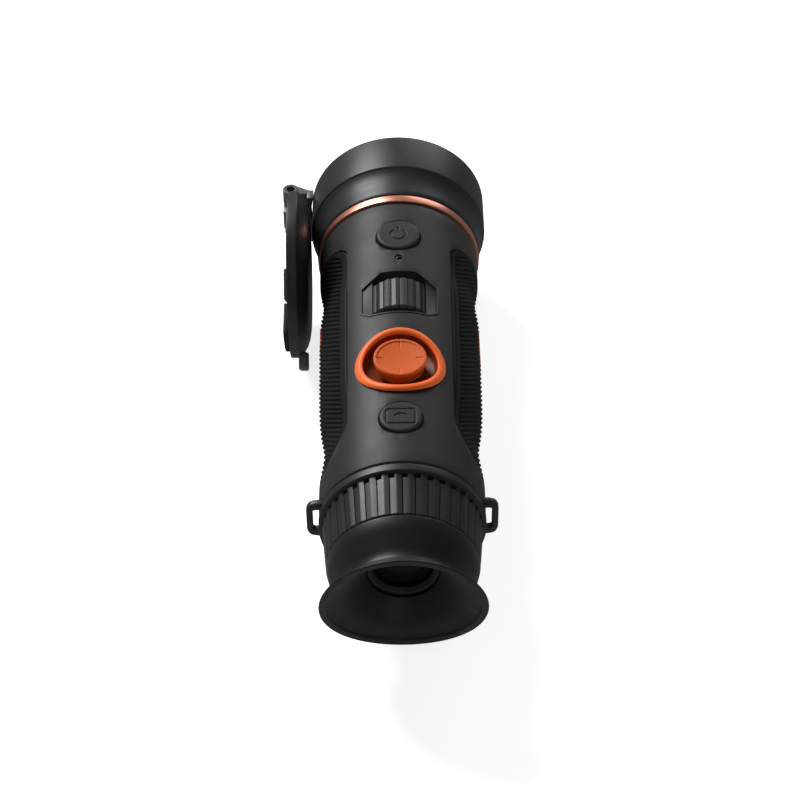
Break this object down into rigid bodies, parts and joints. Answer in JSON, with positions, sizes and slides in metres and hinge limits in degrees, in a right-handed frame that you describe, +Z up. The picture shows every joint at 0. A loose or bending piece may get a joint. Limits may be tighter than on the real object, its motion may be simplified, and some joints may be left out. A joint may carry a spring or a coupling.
{
  "type": "thermal imaging camera",
  "caption": "Hand-held thermal imaging monocular: dark tube with flared objective, folded-back lens cap, focus wheel, orange joystick, knurled dioptre ring, slanted eyecup.",
  "frame": {"origin": "centre of the tripod socket's mouth, on the flat of the foot under the body", "axes": "+Y along the optical axis towards the objective, +X to the user's right when looking through the eyepiece, +Z up"},
  "size_m": [0.0759, 0.2092, 0.0648],
  "materials": {
    "soft_black": "soft-touch fine texture",
    "grip_rubber": "ribbed matte rubber",
    "eyecup_rubber": "soft matte rubber",
    "dark_anodised": "satin dark anodised",
    "copper_trim": "satin copper anodised",
    "orange_plastic": "satin orange",
    "germanium": "coated, opaque to light",
    "eyepiece_glass": "polished",
    "steel": "machined",
    "brass": "machined",
    "circuit_board": "solder mask",
    "module": "moulded",
    "battery_wrap": "shrink wrap"
  },
  "bodies": {
    "housing": {"main_housing": "soft_black", "wheel_bezel": "soft_black", "left_grip_pad": "grip_rubber", "right_grip_pad": "grip_rubber", "objective_bell": "dark_anodised", "objective_cell": "dark_anodised", "lens_retainer": "dark_anodised", "focus_ring_mount": "dark_anodised", "eyepiece_tube": "dark_anodised", "left_strap_lug": "dark_anodised", "right_strap_lug": "dark_anodised", "cap_bracket": "dark_anodised", "tripod_base": "dark_anodised", "copper_ring": "copper_trim", "joystick_bezel": "orange_plastic", "left_accent_bar": "orange_plastic", "right_accent_bar": "orange_plastic", "front_lens": "germanium", "status_light": "eyepiece_glass", "shutter_motor": "steel", "power_switch": "steel", "photo_switch": "steel", "cap_hinge_pin": "steel", "base_screw_front": "steel", "base_screw_rear": "steel", "usb_socket": "steel", "tripod_bush": "brass", "detector_board": "circuit_board", "main_board": "circuit_board", "key_board": "circuit_board", "power_board": "circuit_board", "usb_board": "circuit_board", "detector_module": "module", "battery_cradle": "module", "display_module": "module", "joystick_tray": "module", "battery": "battery_wrap"},
    "lens_cap": {"lens_cap": "soft_black", "cap_liner": "grip_rubber", "cap_crescent_pad": "grip_rubber", "cap_magnet_block": "dark_anodised"},
    "focus_wheel": {"focus_wheel": "dark_anodised", "focus_shaft": "steel", "focus_pinion": "brass"},
    "focus_ring": {"focus_ring": "brass"},
    "focus_lens_cell": {"focus_cell": "dark_anodised", "focus_lens": "germanium"},
    "shutter": {"shutter_blade": "steel"},
    "power_button": {"power_button": "soft_black"},
    "photo_button": {"photo_button": "soft_black"},
    "joystick_gimbal": {"joystick_gimbal": "steel"},
    "joystick_carrier": {"joystick_carrier": "module"},
    "joystick_stick": {"joystick_stem": "steel", "joystick_cap": "orange_plastic"},
    "diopter_ring": {"diopter_ring": "dark_anodised"},
    "eyepiece_lens_cell": {"eyepiece_cell": "dark_anodised", "eye_lens": "eyepiece_glass", "eyepiece_retainer": "dark_anodised"},
    "eyecup": {"eyecup": "eyecup_rubber"},
    "usb_cover": {"usb_cover": "grip_rubber"}
  },
  "joints": [
    {"name": "lens_cap_swing", "type": "hinge", "parent": "housing", "child": "lens_cap", "pos_m": [-0.0405, 0.0875, 0.0315], "axis": [0, 0, -1], "range_deg": [0, 270]},
    {"name": "focus_wheel_turn", "type": "hinge", "parent": "housing", "child": "focus_wheel", "pos_m": [0, 0.0034, 0.049], "axis": [0, 1, 0], "range_deg": [-180, 180]},
    {"name": "focus_ring_turn", "type": "hinge", "parent": "housing", "child": "focus_ring", "pos_m": [0, 0.025, 0.0315], "axis": [0, 1, 0], "range_deg": [-46, 46]},
    {"name": "focus_lens_slide", "type": "slide", "parent": "housing", "child": "focus_lens_cell", "axis": [0, 1, 0], "range_m": [-0.0016, 0.0016]},
    {"name": "shutter_swing", "type": "hinge", "parent": "housing", "child": "shutter", "pos_m": [0.0164, 0.0213, 0.0235], "axis": [0, -1, 0], "range_deg": [0, 50]},
    {"name": "power_button_press", "type": "slide", "parent": "housing", "child": "power_button", "axis": [0, 0, -1], "range_m": [0, 0.0006], "stiffness_N_per_m": 2500, "springref_m": -0.0003},
    {"name": "photo_button_press", "type": "slide", "parent": "housing", "child": "photo_button", "axis": [0, 0, -1], "range_m": [0, 0.0006], "stiffness_N_per_m": 2500, "springref_m": -0.0003},
    {"name": "joystick_tilt_fore_aft", "type": "hinge", "parent": "housing", "child": "joystick_gimbal", "pos_m": [0, -0.0296, 0.0495], "axis": [1, 0, 0], "range_deg": [-5, 5], "stiffness_Nm_per_rad": 0.2},
    {"name": "joystick_tilt_sideways", "type": "hinge", "parent": "joystick_gimbal", "child": "joystick_carrier", "pos_m": [0, -0.0296, 0.0495], "axis": [0, 1, 0], "range_deg": [-5, 5], "stiffness_Nm_per_rad": 0.2},
    {"name": "joystick_press", "type": "slide", "parent": "joystick_carrier", "child": "joystick_stick", "axis": [0, 0, -1], "range_m": [0, 0.0004], "stiffness_N_per_m": 4000, "springref_m": -0.0003},
    {"name": "diopter_ring_turn", "type": "hinge", "parent": "housing", "child": "diopter_ring", "pos_m": [0, -0.087, 0.0315], "axis": [0, 1, 0], "range_deg": [-60, 60]},
    {"name": "eyepiece_lens_slide", "type": "slide", "parent": "housing", "child": "eyepiece_lens_cell", "axis": [0, 1, 0], "range_m": [-0.0011, 0.0011]},
    {"name": "eyecup_turn", "type": "hinge", "parent": "housing", "child": "eyecup", "pos_m": [0, -0.1, 0.0315], "axis": [0, 1, 0], "continuous": true},
    {"name": "usb_cover_swing", "type": "hinge", "parent": "housing", "child": "usb_cover", "pos_m": [0, -0.0528, 0.005], "axis": [1, 0, 0], "range_deg": [0, 100]}
  ],
  "couplings": [
    {"joint": "focus_ring_turn", "follows": "focus_wheel_turn", "ratio": -0.25},
    {"joint": "focus_lens_slide", "follows": "focus_wheel_turn", "m_per_rad": 0.00047},
    {"joint": "eyepiece_lens_slide", "follows": "diopter_ring_turn", "m_per_rad": 0.001}
  ]
}
